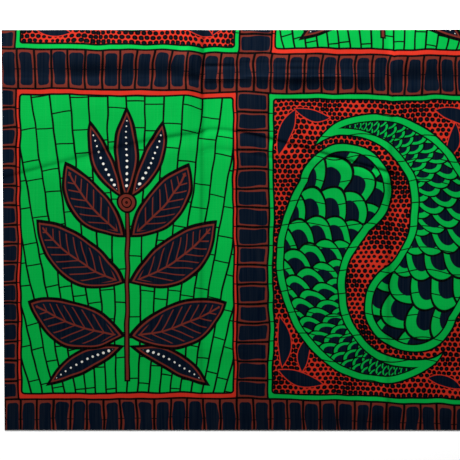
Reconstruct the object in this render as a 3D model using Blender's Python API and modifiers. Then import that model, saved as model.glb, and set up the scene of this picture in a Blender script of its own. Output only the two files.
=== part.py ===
"""A cut length of ankara, the wax-printed cotton cloth, laid out flat in one layer.

The cloth is one woven sheet. It was stored folded, so two store folds run down it and one
runs across it, and between them the cloth lies a little slack. It rests on its underside
at z = 0, with +X along its longer side and +Y towards its top edge.
Sizes are in millimetres and are turned to metres where vertices are placed.
"""

import math

import bpy

MM = 0.001

# Driving sizes of the cut
CUT_WIDTH = 580.0
CUT_HEIGHT = 460.0
WALL = 1.2
# The cloth lies this much wider at its top edge than at its middle, and narrower at its bottom edge
TOP_SPREAD = 3.7
# Relief lower than this lies flat on the surface
PRESSED_FLAT = 0.35

# Mesh spacing over the plain cloth and beside a crease, and how far a crease's own lines reach
PLAIN_STEP = 25.0
CREASE_STEP = 7.0
CREASE_REACH = 21.0

# Store folds, which run down the cloth: where each is at the top and bottom edge,
# how high its flanks stand at the top and bottom edge, and how wide a flank is
STORE_FOLDS = (
    # name, x_top, x_bottom, height_top, height_bottom, flank
    ("left store fold", -61.5, -60.0, 1.9, 1.1, 15.0),
    ("right store fold", 159.0, 152.0, 1.8, 1.2, 14.0),
)

# The slack line rises from the left edge to a rounded peak and falls again to its end
SLACK_PEAK_X = -48.0
SLACK_PEAK_Y = 116.0
SLACK_GRADE = 0.27
SLACK_ROUND = 35.0
SLACK_END = 170.0

# Creases that run across it: the mesh row that it takes, where it starts and ends, its form
CROSS_CREASES = (
    # name, row, x_start, x_end, form, height, flank
    ("cross fold, pressed end", 180.5, -300.0, -60.0, "valley", 1.2, 15.0),
    ("cross fold, raised end", 176.0, -85.0, 300.0, "ridge", 2.0, 9.0),
    ("slack line", 95.0, -280.0, SLACK_END, "valley", 0.9, 12.0),
    ("low slack line", -135.0, -285.0, 0.0, "ridge", 0.8, 12.0),
)
CROSS_CREASE_FADE = 50.0
SLACK_ROW = 95.0
# The mesh rows beside the slack line bend with it, less and less up to this distance
SLACK_BEND_REACH = 78.0

# Broad places where the cloth stands a little off the surface
LIFTS = (
    # name, x, y, half_width, half_height, height
    ("top right corner", 262.0, 205.0, 70.0, 48.0, 1.6),
    ("bottom left corner", -262.0, -196.0, 62.0, 52.0, 1.1),
    ("left panel", -168.0, 28.0, 62.0, 44.0, 0.7),
    ("right panel", 92.0, -70.0, 66.0, 78.0, 0.8),
    ("bottom edge", 40.0, -226.0, 74.0, 30.0, 1.0),
)

# Mean colour of the print: green, orange red, brown and navy seen from far off
PRINT_COLOUR = (0.055, 0.075, 0.035, 1.0)
CLOTH_ROUGHNESS = 0.86


def blend(start, end, share):
    return start + (end - start) * share


def ease(share):
    """A smooth step from 0 to 1."""
    share = min(max(share, 0.0), 1.0)
    return share * share * (3.0 - 2.0 * share)


def half_width(y):
    """Half the cloth's width at a height on it."""
    return (CUT_WIDTH + TOP_SPREAD * y / (CUT_HEIGHT / 2)) / 2


def slack_line(x):
    """The height on the cloth that the slack line has at x."""
    away = min(x, SLACK_END) - SLACK_PEAK_X
    return SLACK_PEAK_Y - SLACK_GRADE * (math.hypot(away, SLACK_ROUND) - SLACK_ROUND)


def bent_row(row, x):
    """A mesh row's height on the cloth at x: rows near the slack line bend with it."""
    share = 1.0 - abs(row - SLACK_ROW) / SLACK_BEND_REACH
    return row + (slack_line(x) - SLACK_ROW) * ease(share)


def valley(distance, flank):
    """A pressed line that touches the surface, with the cloth raised a little on each side."""
    reach = abs(distance) / flank
    return reach * math.exp(1.0 - reach)


def ridge(distance, flank):
    """A line that stands up, with hollow sides."""
    return math.exp(-abs(distance) / flank)


FORMS = {"valley": valley, "ridge": ridge}


def relief(x, y):
    """How high the underside of the cloth stands over the surface."""
    height = 0.0
    from_top = 0.5 - y / CUT_HEIGHT
    for _name, x_top, x_bottom, height_top, height_bottom, flank in STORE_FOLDS:
        distance = x - blend(x_top, x_bottom, from_top)
        height += blend(height_top, height_bottom, from_top) * valley(distance, flank)
    for _name, row, x_start, x_end, form, crest, flank in CROSS_CREASES:
        fade = ease((x - x_start) / CROSS_CREASE_FADE) * ease((x_end - x) / CROSS_CREASE_FADE)
        height += crest * fade * FORMS[form](y - bent_row(row, x), flank)
    for _name, middle_x, middle_y, wide, high, crest in LIFTS:
        height += crest * math.exp(-(((x - middle_x) / wide) ** 2) - ((y - middle_y) / high) ** 2)
    return max(height - PRESSED_FLAT, 0.0)


def mesh_lines(low, high, creases):
    """Places for the mesh's lines from low to high, closer together beside the creases."""
    steps = round(CREASE_REACH / CREASE_STEP)
    beside = {crease + CREASE_STEP * step for crease in creases for step in range(-steps, steps + 1)}
    lines = [low]
    for place in sorted(place for place in beside if low < place < high) + [high]:
        start = lines[-1]
        gap = place - start
        if gap < CREASE_STEP / 2 and place != high:
            continue
        parts = max(round(gap / PLAIN_STEP), 1)
        lines += [start + gap * part / parts for part in range(1, parts + 1)]
    return lines


def line_at(lines, place):
    """The mesh line that stands for a place from -1 to 1 on the even grid."""
    return lines[round((place + 1.0) / 2.0 * (len(lines) - 1))]


def cloth_material():
    material = bpy.data.materials.new("wax-printed cotton")
    material.use_nodes = True
    shader = material.node_tree.nodes["Principled BSDF"]
    shader.inputs["Base Color"].default_value = PRINT_COLOUR
    shader.inputs["Roughness"].default_value = CLOTH_ROUGHNESS
    shader.inputs["Metallic"].default_value = 0.0
    return material


def cloth_sheet(collection):
    """The sheet: a grid whose lines follow the creases, raised by the relief and given a wall."""
    columns = mesh_lines(-CUT_WIDTH / 2, CUT_WIDTH / 2, [(fold[1] + fold[2]) / 2 for fold in STORE_FOLDS])
    rows = mesh_lines(-CUT_HEIGHT / 2, CUT_HEIGHT / 2, [crease[1] for crease in CROSS_CREASES])
    bpy.ops.mesh.primitive_grid_add(
        x_subdivisions=len(columns) - 1, y_subdivisions=len(rows) - 1, size=2.0
    )
    sheet = bpy.context.object
    sheet.name = "ankara_cloth"
    sheet.data.name = "ankara_cloth"
    for vertex in sheet.data.vertices:
        column = line_at(columns, vertex.co.x)
        y = bent_row(line_at(rows, vertex.co.y), column)
        x = column * half_width(y) / (CUT_WIDTH / 2)
        vertex.co = (x * MM, y * MM, relief(x, y) * MM)

    wall = sheet.modifiers.new("cloth wall", "SOLIDIFY")
    wall.thickness = WALL * MM
    wall.offset = 1.0
    wall.use_even_offset = True

    sheet.data.materials.append(cloth_material())
    for owner in list(sheet.users_collection):
        owner.objects.unlink(sheet)
    collection.objects.link(sheet)


def main():
    for thing in list(bpy.data.objects):
        bpy.data.objects.remove(thing, do_unlink=True)
    collection = bpy.data.collections.new("ankara cloth")
    bpy.context.scene.collection.children.link(collection)
    cloth_sheet(collection)


main()
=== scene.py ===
"""Dress a cut length of ankara, the wax-printed cotton cloth, and lay it out for its picture."""

import math

import bpy
from bpy.props import FloatProperty, FloatVectorProperty, PointerProperty
from bpy.types import NodeSocket, Operator, Panel, PropertyGroup
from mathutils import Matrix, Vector, noise


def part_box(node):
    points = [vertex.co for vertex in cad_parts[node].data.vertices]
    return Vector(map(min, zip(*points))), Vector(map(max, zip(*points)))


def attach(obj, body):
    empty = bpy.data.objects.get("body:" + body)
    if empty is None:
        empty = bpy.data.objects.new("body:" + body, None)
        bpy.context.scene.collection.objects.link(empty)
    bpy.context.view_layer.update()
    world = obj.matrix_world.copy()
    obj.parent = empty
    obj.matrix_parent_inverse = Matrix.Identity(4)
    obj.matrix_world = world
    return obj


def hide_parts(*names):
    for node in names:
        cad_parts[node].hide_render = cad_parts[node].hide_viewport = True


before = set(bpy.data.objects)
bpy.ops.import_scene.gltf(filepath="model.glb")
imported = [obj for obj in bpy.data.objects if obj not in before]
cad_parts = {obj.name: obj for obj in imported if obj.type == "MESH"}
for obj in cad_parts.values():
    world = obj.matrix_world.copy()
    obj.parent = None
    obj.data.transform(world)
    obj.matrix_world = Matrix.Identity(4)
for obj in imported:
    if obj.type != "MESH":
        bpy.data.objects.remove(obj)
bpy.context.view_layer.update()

bl_info = {
    "name": "Ankara Cloth",
    "version": (1, 0, 0),
    "blender": (4, 5, 0),
    "location": "3D View > Sidebar > Ankara",
    "description": "Lays out a cut length of wax-printed cotton with its print, store folds and slack",
    "category": "Object",
}

MM = 0.001
CLOTH_LOW, CLOTH_HIGH = (Vector(corner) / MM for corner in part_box("ankara_cloth"))

# Form of the cloth in millimetres, with the same folds and slack as the solid

# How much wider the cloth lies along its top edge than along its middle
TOP_SPREAD = 3.7
CUT_WIDTH = CLOTH_HIGH.x - CLOTH_LOW.x - TOP_SPREAD
CUT_HEIGHT = CLOTH_HIGH.y - CLOTH_LOW.y
# Rises lower than this are pressed flat
PRESSED_FLAT = 0.35

# The cloth steps down across a store fold from left to right, and rises again to the right of it
STORE_FOLDS = (
    # name, x_top, x_bottom, step_top, step_bottom, half_width, rise_top, rise_bottom, width
    ("left store fold", -59.9, -62.4, 1.0, 0.9, 2.4, 1.1, 0.9, 30.0),
    ("right store fold", 161.0, 152.3, 0.6, 0.9, 3.0, 0.8, 0.9, 42.0),
)
FOLD_BEND_REACH = 45.0
FOLD_DRIFT_POWER = 3
# Share by which creases vary in height, and over what distance
CREASE_UNEVEN = 0.5
CREASE_UNEVEN_SPACING = 55.0
# The slack line rises to a peak and falls, with one side passing into the other over SLACK_JUMP
SLACK_PEAK_X = -48.0
SLACK_SIDES = (
    # name, peak, grade, how widely the peak is rounded
    ("left of the left store fold", 109.8, 0.286, 72.0),
    ("right of it", 115.0, 0.292, 35.0),
)
SLACK_JUMP_X = -66.0
SLACK_JUMP = 14.0
SLACK_END = 170.0
# The mesh row that follows the slack line, and how far from it others bend with it
SLACK_ROW = 95.0
SLACK_BEND_REACH = 78.0
CROSS_CREASES = (
    # name, row, the x where it starts, is whole, starts to fade and ends, then the form, height and width
    # of the side above and of the side below
    ("cross fold, left start", 177.5, (-300.0, -288.0, -236.0, -196.0),
     ("soft trough", 1.5, 14.0), ("soft trough", 0.8, 5.5)),
    ("cross fold, left part", 176.2, (-244.0, -208.0, -80.0, -58.0),
     ("soft trough", 4.8, 15.5), ("soft trough", 0.7, 6.5)),
    ("cross fold, beside the left store fold", 171.0, (-88.0, -76.0, -66.0, -56.0),
     ("soft trough", 1.6, 7.0), ("soft trough", 0.5, 6.0)),
    ("cross fold, middle start", 173.0, (-66.0, -54.0, -22.0, -2.0),
     ("sharp crest", 1.1, 12.0), ("soft crest", 0.8, 3.4)),
    ("cross fold, middle part", 176.8, (-22.0, -2.0, 100.0, 160.0),
     ("sharp crest", 1.5, 12.0), ("soft crest", 1.8, 8.0)),
    ("cross fold, middle line", 184.5, (10.0, 40.0, 110.0, 146.0),
     ("soft trough", 0.3, 2.2), ("soft trough", 0.25, 2.4)),
    ("cross fold, upper line start", 188.0, (-64.0, -54.0, -32.0, -8.0),
     ("soft trough", 0.75, 2.6), ("soft trough", 0.45, 2.6)),
    ("cross fold, upper line", 192.0, (-32.0, -8.0, 130.0, 160.0),
     ("soft trough", 0.25, 2.0), ("soft trough", 0.1, 2.0)),
    ("cross fold, right part", 172.4, (150.0, 166.0, 300.0, 330.0),
     ("soft trough", 3.6, 16.0), ("soft trough", 0.9, 8.0)),
    ("slack line, left part", 95.0, (-330.0, -300.0, -215.0, -185.0),
     ("soft trough", 0.55, 4.0), ("soft trough", 0.2, 6.0)),
    ("slack line, arc start", 95.0, (-215.0, -185.0, -130.0, -100.0),
     ("soft trough", 0.95, 4.2), ("soft trough", 1.0, 12.0)),
    ("slack line, arc", 95.0, (-130.0, -100.0, -64.0, -50.0),
     ("soft trough", 0.7, 4.0), ("soft trough", 1.1, 12.0)),
    ("slack line, beside the left store fold", 95.0, (-64.0, -50.0, -30.0, -12.0),
     ("soft trough", 0.4, 2.8), ("soft trough", 0.7, 6.0)),
    ("slack line, over the middle band", 95.0, (-30.0, -12.0, 24.0, 40.0),
     ("soft trough", 1.15, 2.7), ("soft trough", 0.8, 6.0)),
    ("slack line, right part", 95.0, (24.0, 40.0, 150.0, 170.0),
     ("soft trough", 1.15, 2.6), ("soft trough", 0.8, 6.0)),
    ("slack line, lower edge", 75.0, (-76.0, -50.0, 80.0, 115.0),
     ("soft trough", 0.4, 4.5), ("soft trough", 0.2, 5.0)),
    ("low slack line", -137.0, (-220.0, -180.0, -20.0, 0.0),
     ("soft crest", 0.35, 13.0), ("soft crest", 0.35, 13.0)),
)
# How far beside a crease the cloth settles to the surface
CREASE_SETTLE = 45.0
# How far up from the bottom edge the cloth lies closer and closer to the surface
EDGE_SETTLE = 24.0
LIFTS = (
    # name, x, y, half_width, half_height, height
    ("top right corner", 262.0, 205.0, 70.0, 48.0, 1.6),
    ("bottom left corner", -262.0, -176.0, 62.0, 34.0, 0.6),
    ("left panel", -168.0, 28.0, 62.0, 44.0, 0.7),
    ("right panel", 92.0, -70.0, 66.0, 78.0, 0.8),
    ("middle band", -14.0, -50.0, 46.0, 130.0, 1.7),
    ("right panel, upper part", 62.0, 62.0, 70.0, 54.0, 0.3),
    ("right panel, right part", 220.0, -85.0, 48.0, 70.0, 1.3),
    ("left panel, upper part", -140.0, 150.0, 90.0, 36.0, 0.9),
    ("right edge", 264.0, 62.0, 84.0, 84.0, 1.3),
    ("bottom edge", 40.0, -172.0, 74.0, 34.0, 0.6),
)
UNEVEN = (
    # spacing, height: how far apart the small rises of a laid cloth are, and how high
    (60.0, 0.42),
    (17.0, 0.06),
)
# Nearer than this to its line, a crease is as high as the table says. Farther off its height is uneven
CREASE_EVEN_REACH = 3.0
# How far the mesh's own lines lie from a crease, and how near two of them may come
BESIDE_CREASE = (0.0, 0.8, 1.6, 2.4, 3.2, 4.2, 5.4, 7.0, 9.0, 11.5)
LEAST_GAP = 0.48
# Faces that meet at more than this, as at the cut edge, are shaded apart
SHARP_ANGLE = math.radians(70.0)
# Share of the bake image, on each side, that is kept for the cut edge
BAKE_MARGIN = 0.006

# Print in millimetres on the flat cloth: framed panels between bands of blocks

REPEAT = (289.0, 403.5, 1.0)
HALF_REPEAT = (REPEAT[0] / 2, REPEAT[1] / 2, 0.0)
# Where the middle of a column lies on the cloth, and the middle of the upper row at the left side
COLUMN_X = -2.9
ROW_Y = 185.3
# Half the widths of upright and level bands, and how many blocks one repeat of each holds
COLUMN_HALF = 18.1
ROW_HALF = 22.9
COLUMN_BLOCKS = 16
ROW_BLOCKS = 15
COLUMN_BLOCK_HALF = (15.4, 8.3)
ROW_BLOCK_HALF = (19.1, 7.0)
COLUMN_BLOCK_CORNER = 2.6
ROW_BLOCK_CORNER = 4.2
# How much the blocks differ in size, and over what distance
BLOCK_UNEVEN = 4.0
BLOCK_UNEVEN_SPACING = 26.0
# Half the widths of the lines between panels and bands, between blocks and along the level bands
BAND_LINE = 1.1
SEPARATOR = 1.35
ROW_MIDDLE_LINE = 0.5
# How far the print is pulled to the right at the top edge, and over what height and width that grows
TOP_PULL = 3.4
TOP_PULL_Y = 188.0
TOP_PULL_HEIGHT = 24.0
TOP_PULL_WIDTH = 200.0
# The print's rows sag away from this place: by a grade and a step at the top, by a curve at the bottom
LEVEL_X = -270.0
TOP_GRADE = 0.012
TOP_STEP = 2.3
TOP_STEP_X = -80.0
TOP_STEP_WIDTH = 19.0
BOTTOM_GRADE = -0.0243
BOTTOM_CURVE = 0.00007
# Where the store folds cross the upper block band, the cloth is drawn into the fold: the print dips by DIP
DIP = 2.2
DIP_Y = 182.0
DIP_HALF_HEIGHT = 42.0
DIP_HALF_WIDTH = 6.0
LEAF_PANEL_HALF = (122.0, 171.9)
PEBBLE_PANEL_HALF = (120.3, 171.9)
FRAME_CORNER = 3.0
# How far the line round a panel's ground reaches inwards and outwards
FRAME_LINE = 0.8
FRAME_LINE_OUTER = 1.4
FRAME_TICK_PITCH = 22.2
FRAME_TICK = 0.6
# Width of the soft edge that dye has
DYE_EDGE = 0.45
# How far hand-drawn lines wander in all, and over what distance
WANDER = 5.0
WANDER_SPACING = 44.0
# Share by which the cloth takes up more or less dye, and over what distance
CLOUD = 0.1
CLOUD_SPACING = 21.0
# Threads lie 0.35 mm apart, too fine to show, so they are drawn more than four times as coarse
THREAD_PITCH = 0.35
DRAWN_COARSER = 4.608
# How long a thicker place in a thread is, by what share it changes the colour, how far it stands out
SLUB_LENGTH = 33.3
THREAD_SHADE = 0.06
THREAD_RISE = 0.1
THREAD_BUMP = 0.3
# Upright streaks where warp threads took less dye: their size, and how much colour they add
STREAK_WIDTH = 2.0
STREAK_LENGTH = 62.5
STREAK = 0.005

# Leaf panel: a spray on rays that fan out from far below it. Lines are given by half their width
FAN_DEPTH = 600.0
RAY_PITCH = 17.0
RAY_LINE = 1.08
TICK_PITCH = 36.0
TICK_LINE = 0.78
# By how much of their pitch ticks shift from one ray to the next, and how far each is off its place
TICK_SHIFT = 0.37
TICK_JITTER = 0.5
STEM_FOOT = -160.0
STEM_TOP = 48.0
STEM_HALF = 3.2
STEM_RIM = 1.8
# How far inside a leaf's edge its dark rim ends, its navy field starts, and its beads or veins may lie
LEAF_RIM = 3.3
LEAF_FIELD = 5.1
BEAD_MARGIN = 6.4
VEIN_MARGIN = 7.4
BEAD_PITCH = 6.8
BEAD_RADIUS = 1.85
# How much a bead's radius shrinks for each millimetre along its leaf
BEAD_SHRINK = 0.012
VEIN_PITCH = 12.0
VEIN_LINE = 0.95
# How far a vein runs along its leaf for each millimetre across it
VEIN_SLOPE = 1.15
MIDRIB = 1.0
# Rings where the bud sits on its stem
BUD_RADIUS = 12.5
BUD_RIM = 1.7
RING_START = 1.0
RING_PITCH = 5.0
RING_LINE = 0.8
RINGS_END = 11.0
WIDE_LEAVES = (
    # name, base_x, base_y, turn, length, half_width, sag
    ("low leaf", 1.5, -106.0, 20.0, 121.0, 27.0, -9.0),
    ("middle leaf", 1.5, -46.0, 36.0, 126.0, 27.0, -10.0),
    ("upper leaf", 1.5, 8.0, 51.0, 112.0, 23.0, -9.0),
)
NARROW_LEAVES = (
    # name, base_x, base_y, turn, length, half_width, sag
    ("root leaf", 2.0, -118.0, -26.0, 104.0, 13.5, 6.0),
    ("bud side petal", 3.0, 52.0, 67.0, 100.0, 13.5, -6.0),
    ("bud petal", 0.0, 48.0, 90.0, 114.0, 14.0, 0.0),
)

# Pebble panel: two drops that wind round each other's heads
PEBBLE_PITCH = 6.3
PEBBLE_ROW = 5.5
# Radius of the smallest pebbles, how much others are larger by chance and from place to place
SMALLEST_PEBBLE = 1.5
PEBBLE_CHANCE = 0.6
PEBBLE_GROWTH = 1.8
PEBBLE_HEART = 0.9
# How far pebbles lie off their places together, over what distance, and each by shares of the pitches
PEBBLE_DRIFT = 4.5
PEBBLE_DRIFT_SPACING = 45.0
PEBBLE_JITTER = (0.17, 0.19)
DROP_X = 38.0
DROP_Y = -66.0
DROP_RADIUS = 55.0
DROP_GAP = 7.0
DROP_SWEEP = math.radians(190.0)
# The power by which a drop closes in on the other drop's head
DROP_CLOSING = 3.0
# A middle value of how far the drop's spine lies from the other head
DROP_SPINE = DROP_GAP + 1.8 * DROP_RADIUS
# How far inside its edge a drop's dark line ends and its green rim ends, and the width of the line after it
DROP_LINE = 2.2
DROP_RIM = 9.5
SCALES_LINE = 1.8
SCALES_ACROSS = 2.4
SCALE_RADIUS = 0.575
SCALE_RISE = 0.3
SCALE_HEART = 0.365
SMALLEST_SCALE = 0.3
# Width of the line round a scale, and how much it grows with the scale's width
SCALE_LINE = 1.0
SCALE_LINE_GROWTH = 0.022
# Level strokes, given by half their width, sway by STROKE_SWAY once in each STROKE_WAVE
STROKE_PITCH = 26.0
STROKE_LINE = 0.62
STROKE_SWAY = 2.5
STROKE_WAVE = 69.8
SMALL_LEAF_RIM = 1.0
SMALL_LEAVES = (
    # name, base_x, base_y, turn, length, half_width, sag
    ("corner leaf", 64.0, 160.0, -18.0, 52.0, 7.5, 3.0),
    ("side leaf", 110.0, 140.0, -86.0, 56.0, 7.5, -4.0),
    ("inner leaf", 88.0, 146.0, -106.0, 42.0, 6.5, 4.0),
    ("far leaf", -114.0, 108.0, 70.0, 54.0, 7.0, 3.0),
    ("end leaf", -96.0, 160.0, -14.0, 40.0, 6.0, -3.0),
)
# Farther off than any leaf
FAR = 1000.0

# Stage in metres

SOFT_BOX_SIZE = 0.3
KEY_PLACE = (-0.67, 1.37, 0.37)
# The key faces far to the side, so that the cloth is as bright on the right as on the left
KEY_BACK = (-0.95, 0.17, 0.25)
FILL_PLACE = (-0.45, -0.5, 0.35)
FILL_BACK = (-0.25, -0.35, 0.35)
TABLE_SIZE = 6.0
# The table's face lies a hair below the cloth's lowest places
TABLE_Z = -0.00006
# The picture takes in the cloth's left edge and stops short of its right edge
CAMERA_X = -0.029


def linear(code):
    """An sRGB hex colour as linear red, green and blue."""
    parts = (int(code[i : i + 2], 16) / 255 for i in (1, 3, 5))
    return tuple(c / 12.92 if c <= 0.04045 else ((c + 0.055) / 1.055) ** 2.4 for c in parts)


class PrintSettings(PropertyGroup):
    """Dyes of the wax print."""

    green: FloatVectorProperty(
        name="Green", description="Green of the leaf panels", subtype="COLOR", default=linear("#008633")
    )
    orange: FloatVectorProperty(
        name="Orange Red", description="Orange red of the pebble panels", subtype="COLOR",
        default=linear("#9C2316"),
    )
    brown: FloatVectorProperty(
        name="Brown", description="Brown of the bands and leaf veins", subtype="COLOR",
        default=linear("#551F17"),
    )
    navy: FloatVectorProperty(
        name="Navy", description="Indigo that looks almost black", subtype="COLOR",
        default=linear("#030B17"),
    )
    line: FloatVectorProperty(
        name="Line", description="Near-black of the drawn lines", subtype="COLOR", default=linear("#020203")
    )
    bare: FloatVectorProperty(
        name="Bare", description="Undyed cotton of the white dots", subtype="COLOR",
        default=linear("#B8B6AE"),
    )


class SheetSettings(PropertyGroup):
    """Sizes of the sheet."""

    wall: FloatProperty(
        name="Thickness", description="Thickness of the woven cotton", default=0.00028, min=0.0001,
        unit="LENGTH",
    )
    step: FloatProperty(
        name="Mesh Step", description="Mesh spacing over the plain cloth", default=0.004, min=0.002,
        unit="LENGTH",
    )


class StageSettings(PropertyGroup):
    """Camera and lights."""

    view_width: FloatProperty(
        name="View Width", description="Width of the cloth that the picture takes in", default=0.529,
        unit="LENGTH",
    )
    camera_height: FloatProperty(
        name="Camera Height", description="Height of the camera over the cloth", default=1.6,
        unit="LENGTH",
    )
    key_power: FloatProperty(
        name="Key Power", description="Power of the low soft box beyond the top edge", default=226.0,
        unit="POWER",
    )
    fill_power: FloatProperty(
        name="Fill Power", description="Power of the faint soft box by the near left corner", default=0.55,
        unit="POWER",
    )
    sky: FloatProperty(
        name="Room Light", description="Strength of the even light of the room", default=0.15
    )


# Form


def blend(start, end, share):
    return start + (end - start) * share


def ease(share):
    """A smooth step from 0 to 1."""
    share = min(max(share, 0.0), 1.0)
    return share * share * (3.0 - 2.0 * share)


def widening(y):
    """How much wider the cloth lies at y than at its middle."""
    return 1.0 + TOP_SPREAD * y / (CUT_HEIGHT / 2) / CUT_WIDTH


def slack_line(x):
    """The height on the cloth that the slack line has at x."""
    away = min(x, SLACK_END) - SLACK_PEAK_X
    left, right = (peak - grade * (math.hypot(away, wide) - wide) for _name, peak, grade, wide in SLACK_SIDES)
    return blend(left, right, ease((x - SLACK_JUMP_X) / SLACK_JUMP))


def bent_row(row, x):
    """A mesh row's height on the cloth at x: rows near the slack line bend with it."""
    share = 1.0 - abs(row - SLACK_ROW) / SLACK_BEND_REACH
    return row + (slack_line(x) - SLACK_ROW) * ease(share)


def fold_x(fold, y):
    """Where a store fold lies at y. It drifts most near the top edge."""
    down = min(max(0.5 - y / CUT_HEIGHT, 0.0), 1.0)
    return blend(fold[1], fold[2], 1.0 - (1.0 - down) ** FOLD_DRIFT_POWER)


def bent_column(column, y):
    """Where a mesh column lies at y: columns near a store fold follow it."""
    for fold in STORE_FOLDS:
        share = 1.0 - abs(column - fold[2]) / FOLD_BEND_REACH
        column += (fold_x(fold, y) / widening(y) - fold[2]) * ease(share)
    return column * widening(y)


def on_cloth(column, row):
    """The x and y of a mesh point, where its bent column and bent row cross, found in three rounds."""
    x, y = column, row
    for _round in range(3):
        x = bent_column(column, y)
        y = bent_row(row, x)
    return x, y


def crease_side(distance, form, height, width):
    """How high the cloth stands on one side of a crease: a trough just touches the surface."""
    away = abs(distance) / width
    left = math.exp(-(away**2) if form.startswith("soft") else -away)
    if form.endswith("crest"):
        return height * left
    return (PRESSED_FLAT + height * (1.0 - left)) * math.exp(-abs(distance) / CREASE_SETTLE)


def relief(x, y):
    """How high the underside of the cloth stands over the surface."""
    height = 0.0
    down = 0.5 - y / CUT_HEIGHT
    depth = 1.0 + CREASE_UNEVEN * noise.noise(Vector((x, y, 0.0)) / CREASE_UNEVEN_SPACING)
    for fold in STORE_FOLDS:
        _name, _x_top, _x_bottom, step_top, step_bottom, half_width, rise_top, rise_bottom, width = fold
        distance = x - fold_x(fold, y)
        left_side = 0.5 - 0.5 * math.tanh(distance / half_width)
        step = blend(step_top, step_bottom, min(2.0 * down, 1.0))
        height += depth * step * left_side * math.exp(-abs(distance) / CREASE_SETTLE)
        if distance > 0.0:
            rise = blend(rise_top, rise_bottom, down)
            height += depth * rise * (1.0 - math.exp(-((distance / width) ** 2)))
    for _name, row, (x_start, x_whole, x_fading, x_end), above, below in CROSS_CREASES:
        fade = ease((x - x_start) / (x_whole - x_start)) * ease((x_end - x) / (x_end - x_fading))
        distance = y - bent_row(row, x)
        side = crease_side(distance, *(above if distance > 0.0 else below))
        height += blend(1.0, depth, min(abs(distance) / CREASE_EVEN_REACH, 1.0)) * fade * side
    for _name, middle_x, middle_y, wide, high, lift in LIFTS:
        height += lift * math.exp(-(((x - middle_x) / wide) ** 2) - ((y - middle_y) / high) ** 2)
    for spacing, swell in UNEVEN:
        height += swell * noise.noise(Vector((x, y, spacing)) / spacing)
    return max(height - PRESSED_FLAT, 0.0) * ease((y + CUT_HEIGHT / 2) / EDGE_SETTLE)


def print_place(x, y):
    """The place on the flat print, in metres, that lies at x, y: its rows sag and dip as they lie there."""
    from_level = x - LEVEL_X
    pull = TOP_PULL * ease((y - TOP_PULL_Y) / TOP_PULL_HEIGHT) * ease(from_level / TOP_PULL_WIDTH)
    across = x / widening(y) - COLUMN_X - pull
    top_drop = TOP_GRADE * from_level + TOP_STEP * ease((x - TOP_STEP_X) / TOP_STEP_WIDTH)
    bottom_drop = BOTTOM_GRADE * from_level + BOTTOM_CURVE * from_level**2
    drop = blend(top_drop, bottom_drop, 0.5 - y / CUT_HEIGHT)
    near_band = math.exp(-(((y - DIP_Y) / DIP_HALF_HEIGHT) ** 2))
    for fold in STORE_FOLDS:
        drop += DIP * near_band * math.exp(-abs(x - fold_x(fold, y)) / DIP_HALF_WIDTH)
    return across * MM, (y - ROW_Y + drop) * MM


def mesh_lines(half, step, creases):
    """Places for the mesh's lines from -half to half, closer together beside the creases."""
    beside = {crease + side * off for crease in creases for off in BESIDE_CREASE for side in (-1, 1)}
    lines = [-half]
    for place in sorted(place for place in beside if abs(place) < half) + [half]:
        start = lines[-1]
        gap = place - start
        if gap < LEAST_GAP and place != half:
            continue
        parts = max(round(gap / step), 1)
        lines += [start + gap * part / parts for part in range(1, parts + 1)]
    return lines


def cloth_mesh(wall, step):
    """The sheet: a grid for each side that follows the creases, closed round the cut edge."""
    columns = mesh_lines(CUT_WIDTH / 2, step, [fold[2] for fold in STORE_FOLDS])
    rows = mesh_lines(CUT_HEIGHT / 2, step, [crease[1] for crease in CROSS_CREASES])
    wide, high = len(columns), len(rows)
    spots = [on_cloth(column, row) for row in rows for column in columns]
    under = [(x * MM, y * MM, relief(x, y) * MM) for x, y in spots]
    over = [(x, y, z + wall) for x, y, z in under]
    count = len(spots)

    corners = [row * wide + column for row in range(high - 1) for column in range(wide - 1)]
    upper = [(a + count, a + count + 1, a + count + wide + 1, a + count + wide) for a in corners]
    lower = [(a, a + wide, a + wide + 1, a + 1) for a in corners]
    rim = list(range(wide - 1)) + list(range(wide - 1, count - 1, wide))
    rim += list(range(count - 1, count - wide, -1)) + list(range(count - wide, 0, -wide))
    edge = [(a, b, b + count, a + count) for a, b in zip(rim, rim[1:] + rim[:1])]
    mesh = bpy.data.meshes.new("printed_cotton")
    mesh.from_pydata(under + over, [], upper + lower + edge)

    # Both sides are dyed alike, so they share one place in the bake image. The cut edge has a strip round it.
    printed = mesh.uv_layers.new(name="cut")
    baked = mesh.uv_layers.new(name="OFBake")
    first_edge = mesh.polygons[len(upper + lower)].loop_start
    half_x, half_y = max(x for x, _y in spots), CUT_HEIGHT / 2
    for loop in mesh.loops:
        x, y = spots[loop.vertex_index % count]
        outer = loop.index >= first_edge and loop.vertex_index < count
        share = 0.5 if outer else 0.5 - BAKE_MARGIN
        printed.uv[loop.index].vector = print_place(x, y)
        baked.uv[loop.index].vector = (0.5 + share * x / half_x, 0.5 + share * y / half_y)
    mesh.shade_smooth()
    mesh.set_sharp_from_angle(angle=SHARP_ANGLE)
    return mesh


# Nodes


def add(tree, kind, *values, **settings):
    """Add a node, fill or link its open inputs in order, and give its first output.

    The kind may go on with the node's operation, as in "Math ADD".
    """
    kind, _space, operation = kind.partition(" ")
    node = tree.nodes.new("ShaderNode" + kind)
    if operation:
        node.operation = operation
    for name, value in settings.items():
        setattr(node, name, value)
    for socket, value in zip([s for s in node.inputs if s.enabled], values):
        if isinstance(value, NodeSocket):
            tree.links.new(value, socket)
        elif value is not None:
            socket.default_value = value
    return next(s for s in node.outputs if s.enabled)


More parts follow.
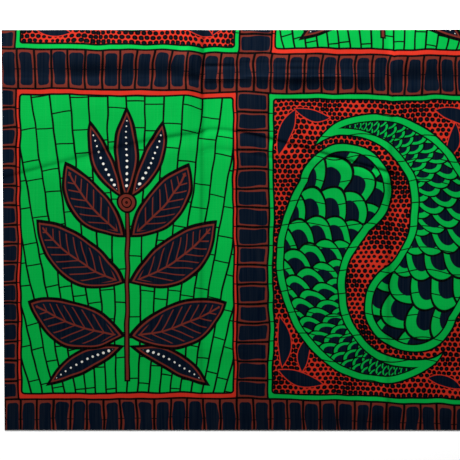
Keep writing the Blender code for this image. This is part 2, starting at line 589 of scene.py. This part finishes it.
def new_group(name, inputs, outputs):
    """An empty node group with its sockets, and its input and output nodes."""
    tree = bpy.data.node_groups.new(name, "ShaderNodeTree")
    for in_out, sockets in (("INPUT", inputs), ("OUTPUT", outputs)):
        for socket, kind in sockets:
            tree.interface.new_socket(socket, in_out=in_out, socket_type="NodeSocket" + kind)
    return tree, tree.nodes.new("NodeGroupInput").outputs, tree.nodes.new("NodeGroupOutput").inputs


def ink(tree, under, colour, edge, size=0.0):
    """Lay a dye over what is under it, up to a size beyond a shape's edge.

    The edge value is how far a point lies past the edge, in millimetres, and below zero inside.
    """
    cover = add(tree, "Math MULTIPLY_ADD", edge, -1.0 / DYE_EDGE, 0.5 + size / DYE_EDGE, use_clamp=True)
    return add(tree, "Mix", cover, under, colour, data_type="RGBA")


def from_line(tree, value, pitch):
    """How far a value is from the nearest whole multiple of a pitch."""
    turn = add(tree, "Math WRAP", value, pitch / 2, -pitch / 2)
    return add(tree, "Math ABSOLUTE", turn)


def core(half, corner):
    """Half the size of the box that lies inside a box with round corners, a corner's radius from its edge."""
    return half[0] - corner, half[1] - corner, 1.0


def rounded_box(tree, point, inside, corner):
    """How far a point lies outside a box with round corners, whose core and corner radius are given."""
    folded = add(tree, "VectorMath ABSOLUTE", point)
    past = add(tree, "VectorMath SUBTRACT", folded, inside)
    past = add(tree, "VectorMath MAXIMUM", past, (0.0, 0.0, 0.0))
    reach = add(tree, "VectorMath LENGTH", past)
    return add(tree, "Math SUBTRACT", reach, corner)


def leaf_group():
    """A pointed leaf of two arcs. Keeps the nearest leaf so far as: along it, across it, past its edge."""
    tree, given, result = new_group(
        "Leaf outline",
        (
            ("Point", "Vector"), ("Base", "Vector"), ("Turn", "Float"), ("Length", "Float"),
            ("Arc", "Float"), ("Arc Offset", "Float"), ("Sag", "Float"), ("Nearest", "Vector"),
        ),
        (("Nearest", "Vector"),),
    )
    turned = add(tree, "VectorRotate", given["Point"], given["Base"], given["Turn"],
                 rotation_type="Z_AXIS", invert=True)
    turned = add(tree, "VectorMath SUBTRACT", turned, given["Base"])
    x, y, _z = add(tree, "SeparateXYZ", turned).node.outputs

    # The middle line bows by the sag where the hump is a quarter, and an arc lies on each side of it
    share = add(tree, "Math DIVIDE", x, given["Length"])
    rest = add(tree, "Math SUBTRACT", 1.0, share)
    hump = add(tree, "Math MULTIPLY", share, rest)
    bow = add(tree, "Math MULTIPLY", hump, given["Sag"])
    across = add(tree, "Math MULTIPLY_ADD", bow, -4.0, y)
    side = add(tree, "Math ABSOLUTE", across)
    arm = add(tree, "Math ADD", side, given["Arc Offset"])
    middle = add(tree, "Math MULTIPLY_ADD", given["Length"], -0.5, x)
    reach = add(tree, "VectorMath LENGTH", add(tree, "CombineXYZ", middle, arm))
    edge = add(tree, "Math SUBTRACT", reach, given["Arc"])
    found = add(tree, "CombineXYZ", x, across, edge)
    nearest_edge = add(tree, "SeparateXYZ", given["Nearest"]).node.outputs["Z"]
    nearer = add(tree, "Math LESS_THAN", edge, nearest_edge)
    kept = add(tree, "Mix", nearer, given["Nearest"], found, data_type="VECTOR")
    tree.links.new(kept, result["Nearest"])
    return tree


def nearest_leaf(tree, outline, point, leaves):
    """The nearest of some leaves as three values: along it, across it and past its edge."""
    nearest = (0.0, 0.0, FAR)
    for _name, base_x, base_y, turn, length, half, sag in leaves:
        arc = ((length / 2) ** 2 + half**2) / (2 * half)
        nearest = add(tree, "Group", point, (base_x, base_y, 0.0), math.radians(turn), length,
                      arc, arc - half, sag, nearest, node_tree=outline)
    return add(tree, "SeparateXYZ", nearest).node.outputs


def drop_group():
    """A drop that winds round the other drop's head and narrows to a point.

    It gives how far a point is across and along the drop, both in widths of the scales there,
    how far it is past the edge, and the width of the scales.
    """
    tree, given, result = new_group(
        "Wound drop outline", (("Point", "Vector"),), (("Place", "Vector"), ("Scale Width", "Float"))
    )
    apart = 2 * math.hypot(DROP_X, DROP_Y)
    other_head = add(tree, "VectorMath ADD", given["Point"], (DROP_X, DROP_Y, 0.0))
    turned = add(tree, "VectorRotate", other_head, (0.0, 0.0, 0.0), -math.atan2(DROP_Y, DROP_X),
                 rotation_type="Z_AXIS")
    x, y, _z = add(tree, "SeparateXYZ", turned).node.outputs

    # The drop starts on the line between both heads and sweeps round the other head
    angle = add(tree, "Math ARCTAN2", y, x)
    angle = add(tree, "Math WRAP", angle, 1.5 * math.pi, -0.5 * math.pi)
    share = add(tree, "Math DIVIDE", angle, DROP_SWEEP)
    left = add(tree, "Math MULTIPLY_ADD", share, -1.0, 1.0, use_clamp=True)
    half = add(tree, "Math MULTIPLY", left, DROP_RADIUS)
    closing = add(tree, "Math POWER", left, DROP_CLOSING)
    inner = add(tree, "Math MULTIPLY_ADD", closing, apart - 2 * DROP_RADIUS - DROP_GAP,
                DROP_RADIUS + DROP_GAP)
    spine = add(tree, "Math ADD", inner, half)
    reach = add(tree, "VectorMath LENGTH", other_head)
    across = add(tree, "Math SUBTRACT", reach, spine)

    # The body ends square at both ends of the sweep, and a round head covers its start
    side = add(tree, "Math ABSOLUTE", across)
    body = add(tree, "Math SUBTRACT", side, half)
    steepness = 8 * apart
    ends = add(tree, "Math SUBTRACT", share, 0.5)
    ends = add(tree, "Math ABSOLUTE", ends)
    ends = add(tree, "Math MULTIPLY_ADD", ends, steepness, -steepness / 2)
    body = add(tree, "Math MAXIMUM", body, ends)
    head = add(tree, "VectorMath DISTANCE", given["Point"], (DROP_X, DROP_Y, 0.0))
    head = add(tree, "Math SUBTRACT", head, DROP_RADIUS)
    edge = add(tree, "Math MINIMUM", head, body)

    # Scales shrink with the drop, down to a smallest size
    size = add(tree, "Math MAXIMUM", left, SMALLEST_SCALE)
    width = add(tree, "Math MULTIPLY", size, 2 * DROP_RADIUS / SCALES_ACROSS)
    steps = SCALES_ACROSS / 2 * DROP_SWEEP * DROP_SPINE / DROP_RADIUS
    tail = add(tree, "Math SUBTRACT", size, left)
    along = add(tree, "Math MINIMUM", share, 0.0)
    along = add(tree, "Math MULTIPLY_ADD", tail, 1 / SMALLEST_SCALE, along)
    along = add(tree, "Math SUBTRACT", along, add(tree, "Math LOGARITHM", size, math.e))
    along = add(tree, "Math MULTIPLY", along, steps)
    across = add(tree, "Math DIVIDE", across, width)
    tree.links.new(add(tree, "CombineXYZ", across, along, edge), result["Place"])
    tree.links.new(width, result["Scale Width"])
    return tree


def cotton_material(dyes):
    """Plain-weave cotton, printed on both sides by hand-drawn wax resist and soaked in flat dyes.

    To the eye it is matt. Its colours are strong, flat and a little cloudy, its lines wander and have
    soft edges, and its threads show as a fine grain both ways.
    """
    material = bpy.data.materials.new("Wax-printed plain-weave cotton")
    material.use_nodes = True
    tree = material.node_tree
    shader = tree.nodes["Principled BSDF"]
    colours = {name: (*getattr(dyes, name), 1.0) for name in PrintSettings.__annotations__}

    # The place on the flat print in millimetres, pushed about as a hand-drawn line wanders. Each noise
    # takes its scale, detail and roughness
    cut = add(tree, "UVMap", uv_map="cut")
    flat = add(tree, "VectorMath SCALE", cut, 1.0 / MM)
    wander = add(tree, "TexNoise", flat, 1 / WANDER_SPACING, 1.0, 0.5, noise_dimensions="2D")
    wander = wander.node.outputs["Color"]
    middle = (-WANDER / 2, -WANDER / 2, 0.0)
    shift = add(tree, "VectorMath MULTIPLY_ADD", wander, (WANDER, WANDER, 0.0), middle)
    point = add(tree, "VectorMath ADD", flat, shift)

    # The panel that the point is in: its middle is 0, and every second panel is a pebble panel
    wrapped = add(tree, "VectorMath WRAP", point, REPEAT, (0.0, 0.0, 0.0))
    panel = add(tree, "VectorMath SUBTRACT", wrapped, HALF_REPEAT)
    count = add(tree, "VectorMath FLOOR", add(tree, "VectorMath DIVIDE", point, REPEAT))
    steps = add(tree, "VectorMath DOT_PRODUCT", count, (1.0, 1.0, 0.0))
    pebbled = add(tree, "Math FLOORED_MODULO", steps, 2.0)

    surface = band_colours(tree, point, panel, colours)
    surface = panel_colours(tree, surface, panel, pebbled, colours)

    # Unevenly taken dye, and warp and weft threads of uneven thickness
    cloudy = add(tree, "TexNoise", flat, 1 / CLOUD_SPACING, 4.0, 0.6, noise_dimensions="2D")
    over, along = 1 / (THREAD_PITCH * DRAWN_COARSER), 1 / SLUB_LENGTH
    warp = add(tree, "VectorMath MULTIPLY", flat, (over, along, 0.0))
    warp = add(tree, "TexNoise", warp, 1.0, 2.0, 0.6, noise_dimensions="2D")
    weft = add(tree, "VectorMath MULTIPLY", flat, (along, over, 0.0))
    weft = add(tree, "TexNoise", weft, 1.0, 2.0, 0.6, noise_dimensions="2D")
    threads = add(tree, "Math ADD", warp, weft)
    taken = add(tree, "Math MULTIPLY_ADD", cloudy, CLOUD, 1.0 - CLOUD / 2 - THREAD_SHADE)
    taken = add(tree, "Math MULTIPLY_ADD", threads, THREAD_SHADE, taken)
    surface = add(tree, "VectorMath SCALE", surface, taken)

    # Warp threads that took less dye, which show as upright streaks on the navy
    streaks = add(tree, "VectorMath MULTIPLY", flat, (1 / STREAK_WIDTH, 1 / STREAK_LENGTH, 0.0))
    streaks = add(tree, "TexNoise", streaks, 1.0, 1.0, 0.5, noise_dimensions="2D")
    paler = add(tree, "Math MULTIPLY_ADD", streaks, STREAK, -STREAK / 2)
    surface = add(tree, "VectorMath ADD", surface, paler)
    surface = add(tree, "VectorMath MAXIMUM", surface, (0.0, 0.0, 0.0))
    tree.links.new(surface, shader.inputs["Base Color"])

    bump = add(tree, "Bump", THREAD_BUMP, THREAD_RISE * MM, None, threads)
    tree.links.new(bump, shader.inputs["Normal"])
    shader.inputs["Roughness"].default_value = 0.75
    shader.inputs["Specular IOR Level"].default_value = 0.02
    return material


def band_colours(tree, point, panel, colours):
    """Bands of rounded navy blocks on brown, with a line between blocks. Rows run on over the columns."""
    half_x, half_y, _half_z = HALF_REPEAT
    flat_x = add(tree, "SeparateXYZ", point).node.outputs["X"]
    y = add(tree, "SeparateXYZ", panel).node.outputs["Y"]
    away = add(tree, "VectorMath ABSOLUTE", panel)
    away_x, away_y, _away_z = add(tree, "SeparateXYZ", away).node.outputs

    column_pitch = (REPEAT[1] - 2 * ROW_HALF) / COLUMN_BLOCKS
    row_pitch = REPEAT[0] / ROW_BLOCKS
    from_column = add(tree, "Math SUBTRACT", half_x, away_x)
    from_row = add(tree, "Math SUBTRACT", half_y, away_y)
    up_column = add(tree, "Math MULTIPLY_ADD", y, 1 / column_pitch, (half_y - ROW_HALF) / column_pitch)
    along_row = add(tree, "Math MULTIPLY_ADD", flat_x, 1 / row_pitch, COLUMN_HALF / row_pitch)
    in_row = add(tree, "Math LESS_THAN", from_row, ROW_HALF)
    column_place = add(tree, "CombineXYZ", from_column, up_column, column_pitch)
    row_place = add(tree, "CombineXYZ", from_row, along_row, row_pitch)
    place = add(tree, "Mix", in_row, column_place, row_place, data_type="VECTOR")
    across, number, pitch = add(tree, "SeparateXYZ", place).node.outputs
    part = add(tree, "Math FRACT", number)
    centred = add(tree, "Math SUBTRACT", part, 0.5)
    along = add(tree, "Math MULTIPLY", centred, pitch)
    column_core = core(COLUMN_BLOCK_HALF, COLUMN_BLOCK_CORNER)
    row_core = core(ROW_BLOCK_HALF, ROW_BLOCK_CORNER)
    inside = add(tree, "Mix", in_row, column_core, row_core, data_type="VECTOR")
    corner = add(tree, "Mix", in_row, COLUMN_BLOCK_CORNER, ROW_BLOCK_CORNER, data_type="FLOAT")
    block = rounded_box(tree, add(tree, "CombineXYZ", across, along), inside, corner)

    # No two blocks are drawn quite the same size
    smaller = add(tree, "TexNoise", point, 1 / BLOCK_UNEVEN_SPACING, 1.0, 0.5, noise_dimensions="2D")
    smaller = add(tree, "Math MULTIPLY_ADD", smaller, BLOCK_UNEVEN, -BLOCK_UNEVEN / 2)
    block = add(tree, "Math ADD", block, smaller)

    off_middle = add(tree, "Math ABSOLUTE", along)
    half_pitch = add(tree, "Math MULTIPLY", pitch, 0.5)
    separator = add(tree, "Math SUBTRACT", half_pitch, off_middle)
    surface = ink(tree, colours["brown"], colours["line"], separator, SEPARATOR)
    surface = ink(tree, surface, colours["line"], from_row, ROW_MIDDLE_LINE)
    surface = ink(tree, surface, colours["navy"], block)
    row_line = add(tree, "Math SUBTRACT", from_row, ROW_HALF)
    row_line = add(tree, "Math ABSOLUTE", row_line)
    return ink(tree, surface, colours["line"], row_line, BAND_LINE)


def panel_colours(tree, surface, panel, pebbled, colours):
    """A framed panel of either kind, laid over the bands."""
    folded = add(tree, "VectorMath ABSOLUTE", panel)
    sides = (REPEAT[0] / 2 - COLUMN_HALF, REPEAT[1] / 2 - ROW_HALF, 0.0)
    past = add(tree, "VectorMath SUBTRACT", folded, sides)
    past_x, past_y, _past_z = add(tree, "SeparateXYZ", past).node.outputs
    outside = add(tree, "Math MAXIMUM", past_x, past_y)

    frame_colour = add(tree, "Mix", pebbled, colours["orange"], colours["green"], data_type="RGBA")
    surface = ink(tree, surface, frame_colour, outside)

    # Ticks cross the frame's two upright sides
    y = add(tree, "SeparateXYZ", panel).node.outputs["Y"]
    tick = add(tree, "Math SUBTRACT", from_line(tree, y, FRAME_TICK_PITCH), FRAME_TICK)
    on_side = add(tree, "Math SUBTRACT", past_y, past_x)
    tick = add(tree, "Math MAXIMUM", tick, on_side)
    tick = add(tree, "Math MAXIMUM", tick, outside)
    surface = ink(tree, surface, colours["line"], tick)

    leaf_core = core(LEAF_PANEL_HALF, FRAME_CORNER)
    pebble_core = core(PEBBLE_PANEL_HALF, FRAME_CORNER)
    inside = add(tree, "Mix", pebbled, leaf_core, pebble_core, data_type="VECTOR")
    inner = rounded_box(tree, panel, inside, FRAME_CORNER)
    leaf = leaf_group()
    leaf_panel = leaf_panel_colours(tree, panel, leaf, colours)
    pebble_panel = pebble_panel_colours(tree, panel, leaf, colours)
    ground = add(tree, "Mix", pebbled, leaf_panel, pebble_panel, data_type="RGBA")
    surface = ink(tree, surface, colours["line"], inner, FRAME_LINE_OUTER)
    surface = ink(tree, surface, ground, inner, -FRAME_LINE)
    border = add(tree, "Math ABSOLUTE", outside)
    return ink(tree, surface, colours["line"], border, BAND_LINE)


def leaf_panel_colours(tree, panel, leaf, colours):
    """A spray of leaves with a bud, upright on green ground that rays and ticks divide."""
    x, y, _z = add(tree, "SeparateXYZ", panel).node.outputs
    line, brown = colours["line"], colours["brown"]

    # Rays fan out from far below the panel, and each has ticks of its own across it
    up = add(tree, "Math ADD", y, FAN_DEPTH)
    angle = add(tree, "Math ARCTAN2", x, up)
    ray = add(tree, "Math MULTIPLY", angle, FAN_DEPTH)
    number = add(tree, "Math FLOOR", add(tree, "Math MULTIPLY", ray, 1 / RAY_PITCH))
    out = add(tree, "VectorMath LENGTH", add(tree, "CombineXYZ", x, up))
    spread = add(tree, "Math MULTIPLY", out, 1 / FAN_DEPTH)
    ray_line = add(tree, "Math MULTIPLY_ADD", from_line(tree, ray, RAY_PITCH), spread, -RAY_LINE)
    shifted = add(tree, "Math MULTIPLY", number, TICK_SHIFT)
    tick = add(tree, "Math MULTIPLY_ADD", out, 1 / TICK_PITCH, shifted)
    cell = add(tree, "CombineXYZ", number, add(tree, "Math FLOOR", tick))
    jitter = add(tree, "TexWhiteNoise", cell, noise_dimensions="2D")
    jitter = add(tree, "Math MULTIPLY_ADD", jitter, -TICK_JITTER, (TICK_JITTER - 1.0) / 2)
    tick = add(tree, "Math ADD", add(tree, "Math FRACT", tick), jitter)
    tick = add(tree, "Math ABSOLUTE", tick)
    tick = add(tree, "Math MULTIPLY_ADD", tick, TICK_PITCH, -TICK_LINE)
    surface = ink(tree, colours["green"], line, add(tree, "Math MINIMUM", ray_line, tick))

    # The spray is the same on both sides of its stem
    side = add(tree, "Math ABSOLUTE", x)
    mirrored = add(tree, "CombineXYZ", side, y)
    above = add(tree, "Math SUBTRACT", y, STEM_TOP)
    below = add(tree, "Math SUBTRACT", STEM_FOOT, y)
    ends = add(tree, "Math MAXIMUM", above, below)
    stem = add(tree, "Math MAXIMUM", add(tree, "Math SUBTRACT", side, STEM_HALF), ends)
    surface = ink(tree, surface, line, stem)
    surface = ink(tree, surface, brown, stem, -STEM_RIM)

    along, across, edge = nearest_leaf(tree, leaf, mirrored, NARROW_LEAVES)
    surface = leaf_body(tree, surface, edge, colours)
    bead = add(tree, "Math WRAP", along, BEAD_PITCH / 2, -BEAD_PITCH / 2)
    bead = add(tree, "VectorMath LENGTH", add(tree, "CombineXYZ", bead, across))
    bead = add(tree, "Math MULTIPLY_ADD", along, BEAD_SHRINK, bead)
    bead = add(tree, "Math SUBTRACT", bead, BEAD_RADIUS)
    bead = add(tree, "Math MAXIMUM", bead, add(tree, "Math ADD", edge, BEAD_MARGIN))
    surface = ink(tree, surface, colours["bare"], bead)

    along, across, edge = nearest_leaf(tree, leaf, mirrored, WIDE_LEAVES)
    surface = leaf_body(tree, surface, edge, colours)
    wing = add(tree, "Math ABSOLUTE", across)
    vein = add(tree, "Math MULTIPLY_ADD", wing, -VEIN_SLOPE, along)
    vein = add(tree, "Math SUBTRACT", from_line(tree, vein, VEIN_PITCH), VEIN_LINE)
    vein = add(tree, "Math MINIMUM", vein, add(tree, "Math SUBTRACT", wing, MIDRIB))
    vein = add(tree, "Math MAXIMUM", vein, add(tree, "Math ADD", edge, VEIN_MARGIN))
    surface = ink(tree, surface, brown, vein)

    # Rings where the bud sits on its stem
    ring = add(tree, "VectorMath DISTANCE", panel, (0.0, STEM_TOP, 0.0))
    surface = ink(tree, surface, line, ring, BUD_RADIUS)
    surface = ink(tree, surface, brown, ring, BUD_RADIUS - BUD_RIM)
    ring_line = from_line(tree, add(tree, "Math SUBTRACT", ring, RING_START), RING_PITCH)
    ring_line = add(tree, "Math SUBTRACT", ring_line, RING_LINE)
    ring_line = add(tree, "Math MAXIMUM", ring_line, add(tree, "Math SUBTRACT", ring, RINGS_END))
    return ink(tree, surface, line, ring_line)


def leaf_body(tree, under, edge, colours):
    """A leaf's dark rim, the brown line inside it and its navy field."""
    surface = ink(tree, under, colours["line"], edge)
    surface = ink(tree, surface, colours["brown"], edge, -LEAF_RIM)
    return ink(tree, surface, colours["navy"], edge, -LEAF_FIELD)


def pebble_panel_colours(tree, panel, leaf, colours):
    """Two scaled drops, head to tail, on orange red that is strewn with dark pebbles."""
    line, navy = colours["line"], colours["navy"]

    # Pebbles lie in staggered rows, each a little off its place and a little larger or smaller
    drift = add(tree, "TexNoise", panel, 1 / PEBBLE_DRIFT_SPACING, 0.0, 0.5, noise_dimensions="2D")
    drift = drift.node.outputs["Color"]
    strewn = add(tree, "VectorMath MULTIPLY_ADD", drift, (PEBBLE_DRIFT, PEBBLE_DRIFT, 0.0), panel)
    x, y, _z = add(tree, "SeparateXYZ", strewn).node.outputs
    row = add(tree, "Math MULTIPLY", y, 1 / PEBBLE_ROW)
    row_number = add(tree, "Math FLOOR", row)
    column = add(tree, "Math MULTIPLY_ADD", row_number, 0.5, add(tree, "Math MULTIPLY", x, 1 / PEBBLE_PITCH))
    cell = add(tree, "CombineXYZ", add(tree, "Math FLOOR", column), row_number)
    jitter = add(tree, "TexWhiteNoise", cell, noise_dimensions="2D").node.outputs["Color"]
    local = add(tree, "CombineXYZ", add(tree, "Math FRACT", column), add(tree, "Math FRACT", row))
    jitter_x, jitter_y = PEBBLE_JITTER
    local = add(tree, "VectorMath MULTIPLY_ADD", jitter, (-jitter_x, -jitter_y, 0.0), local)
    local = add(tree, "VectorMath SUBTRACT", local, (0.5 - jitter_x / 2, 0.5 - jitter_y / 2, 0.0))
    local = add(tree, "VectorMath MULTIPLY", local, (PEBBLE_PITCH, PEBBLE_ROW, 0.0))
    middle = add(tree, "VectorMath LENGTH", local)
    chance = add(tree, "SeparateXYZ", jitter).node.outputs["Z"]
    size = add(tree, "Math MULTIPLY_ADD", chance, PEBBLE_CHANCE, SMALLEST_PEBBLE)
    growth = add(tree, "SeparateXYZ", drift).node.outputs["Z"]
    size = add(tree, "Math MULTIPLY_ADD", growth, PEBBLE_GROWTH, size)
    surface = ink(tree, colours["orange"], line, add(tree, "Math SUBTRACT", middle, size))
    surface = ink(tree, surface, navy, middle, PEBBLE_HEART)

    # Level strokes that sway a little cross all the green of the panel
    x, y, _z = add(tree, "SeparateXYZ", panel).node.outputs
    sway = add(tree, "Math SINE", add(tree, "Math MULTIPLY", x, 2 * math.pi / STROKE_WAVE))
    stroke = from_line(tree, add(tree, "Math MULTIPLY_ADD", sway, STROKE_SWAY, y), STROKE_PITCH)
    green = ink(tree, colours["green"], line, stroke, STROKE_LINE)

    # Turned half round, the panel is the same, so the upper half stands for both
    turned = add(tree, "VectorMath SCALE", panel, add(tree, "Math SIGN", y))
    _along, _across, edge = nearest_leaf(tree, leaf, turned, SMALL_LEAVES)
    surface = ink(tree, surface, colours["orange"], edge, SMALL_LEAF_RIM)
    surface = ink(tree, surface, navy, edge)

    outline = drop_group()
    place = add(tree, "Group", panel, node_tree=outline)
    width = place.node.outputs["Scale Width"]
    back = add(tree, "VectorMath MULTIPLY", panel, (-1.0, -1.0, 0.0))
    other = add(tree, "Group", back, node_tree=outline)
    other_width = other.node.outputs["Scale Width"]
    edge = add(tree, "SeparateXYZ", place).node.outputs["Z"]
    other_edge = add(tree, "SeparateXYZ", other).node.outputs["Z"]
    nearer = add(tree, "Math LESS_THAN", other_edge, edge)
    place = add(tree, "Mix", nearer, place, other, data_type="VECTOR")
    width = add(tree, "Mix", nearer, width, other_width, data_type="FLOAT")
    across, along, edge = add(tree, "SeparateXYZ", place).node.outputs

    surface = ink(tree, surface, line, edge)
    surface = ink(tree, surface, green, edge, -DROP_LINE)
    surface = ink(tree, surface, line, edge, -DROP_RIM)
    scales = scale_colours(tree, across, along, width, green, colours)
    return ink(tree, surface, scales, edge, -DROP_RIM - SCALES_LINE)


def scale_colours(tree, across, along, width, green, colours):
    """Rows of overlapping round scales that point to the drop's head, each a green band round navy."""
    row = add(tree, "Math MULTIPLY", along, -1 / SCALE_RISE)
    number = add(tree, "Math FLOOR", row)
    level = add(tree, "Math MULTIPLY", add(tree, "Math SUBTRACT", row, number), SCALE_RISE)
    reaches = []
    for rows_down in (0.0, 1.0):
        offset = add(tree, "Math MULTIPLY_ADD", number, 0.5, across)
        turn = add(tree, "Math ADD", offset, 0.5 * rows_down)
        turn = add(tree, "Math WRAP", turn, 0.5, -0.5)
        height = add(tree, "Math ADD", level, SCALE_RISE * rows_down)
        reaches.append(add(tree, "VectorMath LENGTH", add(tree, "CombineXYZ", turn, height)))
    behind, before = reaches
    covered = add(tree, "Math LESS_THAN", before, SCALE_RADIUS)
    reach = add(tree, "Mix", covered, behind, before, data_type="FLOAT")
    past = add(tree, "Math SUBTRACT", reach, SCALE_RADIUS)
    past = add(tree, "Math MULTIPLY", past, width)
    outline = add(tree, "Math MULTIPLY_ADD", width, SCALE_LINE_GROWTH, SCALE_LINE)
    surface = ink(tree, colours["line"], green, add(tree, "Math ADD", past, outline))
    past_heart = add(tree, "Math SUBTRACT", reach, SCALE_HEART)
    past_heart = add(tree, "Math MULTIPLY", past_heart, width)
    return ink(tree, surface, colours["navy"], past_heart)


# Pieces


class ANKARA_OT_cloth(Operator):
    """Lay the printed cotton over its solid, with its creases"""

    bl_idname = "ankara.cloth"
    bl_label = "Lay the Cloth"

    def execute(self, context):
        sizes = context.scene.ankara_sheet
        cloth = bpy.data.objects.new("printed_cotton", cloth_mesh(sizes.wall, sizes.step / MM))
        context.scene.collection.objects.link(cloth)
        cloth.data.materials.append(cotton_material(context.scene.ankara_print))
        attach(cloth, "root")
        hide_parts("ankara_cloth")
        return {"FINISHED"}


def soft_box(scene, name, place, back, power):
    """A square soft light at a place, with its back turned to a direction."""
    lamp = bpy.data.lights.new(name, "AREA")
    lamp.shape = "RECTANGLE"
    lamp.size = SOFT_BOX_SIZE
    lamp.size_y = SOFT_BOX_SIZE
    lamp.energy = power
    box = bpy.data.objects.new(name, lamp)
    scene.collection.objects.link(box)
    box.location = place
    box.rotation_euler = Vector(back).to_track_quat("Z", "Y").to_euler()
    box.visible_camera = False


class ANKARA_OT_stage(Operator):
    """Set out the pale table, the soft lights and the camera"""

    bl_idname = "ankara.stage"
    bl_label = "Set the Stage"

    def execute(self, context):
        stage = context.scene.ankara_stage
        scene = context.scene

        bpy.ops.mesh.primitive_plane_add(size=TABLE_SIZE, location=(0.0, 0.0, TABLE_Z))
        table = context.object
        table.name = "pale_table"

        # Board painted with a roller: even, dead white and without a glare
        paint = bpy.data.materials.new("Matt white board")
        paint.use_nodes = True
        shader = paint.node_tree.nodes["Principled BSDF"]
        shader.inputs["Base Color"].default_value = (*linear("#FFFFFF"), 1.0)
        shader.inputs["Roughness"].default_value = 0.9
        table.data.materials.append(paint)

        soft_box(scene, "key soft box", KEY_PLACE, KEY_BACK, stage.key_power)
        soft_box(scene, "fill soft box", FILL_PLACE, FILL_BACK, stage.fill_power)

        world = bpy.data.worlds.new("room") if scene.world is None else scene.world
        scene.world = world
        world.use_nodes = True
        world.node_tree.nodes["Background"].inputs["Color"].default_value = (1.0, 1.0, 1.0, 1.0)
        world.node_tree.nodes["Background"].inputs["Strength"].default_value = stage.sky
        scene.view_settings.view_transform = "Standard"

        lens = bpy.data.cameras.new("camera")
        lens.sensor_fit = "HORIZONTAL"
        lens.angle = 2 * math.atan(stage.view_width / 2 / stage.camera_height)
        camera = bpy.data.objects.new("camera", lens)
        scene.collection.objects.link(camera)
        camera.location = (CAMERA_X, 0.0, stage.camera_height)
        scene.camera = camera
        return {"FINISHED"}


class ANKARA_PT_sidebar(Panel):
    """Sizes, dyes and pieces of the cloth"""

    bl_idname = "ANKARA_PT_sidebar"
    bl_label = "Ankara Cloth"
    bl_space_type = "VIEW_3D"
    bl_region_type = "UI"
    bl_category = "Ankara"

    def draw(self, context):
        layout = self.layout
        for group in (context.scene.ankara_print, context.scene.ankara_sheet, context.scene.ankara_stage):
            for name in type(group).__annotations__:
                layout.prop(group, name)
        layout.operator("ankara.cloth")
        layout.operator("ankara.stage")


CLASSES = (
    PrintSettings, SheetSettings, StageSettings, ANKARA_OT_cloth, ANKARA_OT_stage, ANKARA_PT_sidebar,
)


def register():
    for cls in CLASSES:
        bpy.utils.register_class(cls)
    bpy.types.Scene.ankara_print = PointerProperty(type=PrintSettings)
    bpy.types.Scene.ankara_sheet = PointerProperty(type=SheetSettings)
    bpy.types.Scene.ankara_stage = PointerProperty(type=StageSettings)


def unregister():
    del bpy.types.Scene.ankara_stage
    del bpy.types.Scene.ankara_sheet
    del bpy.types.Scene.ankara_print
    for cls in reversed(CLASSES):
        bpy.utils.unregister_class(cls)


def main():
    register()
    bpy.ops.ankara.cloth()
    bpy.ops.ankara.stage()


if __name__ == "__main__":
    main()
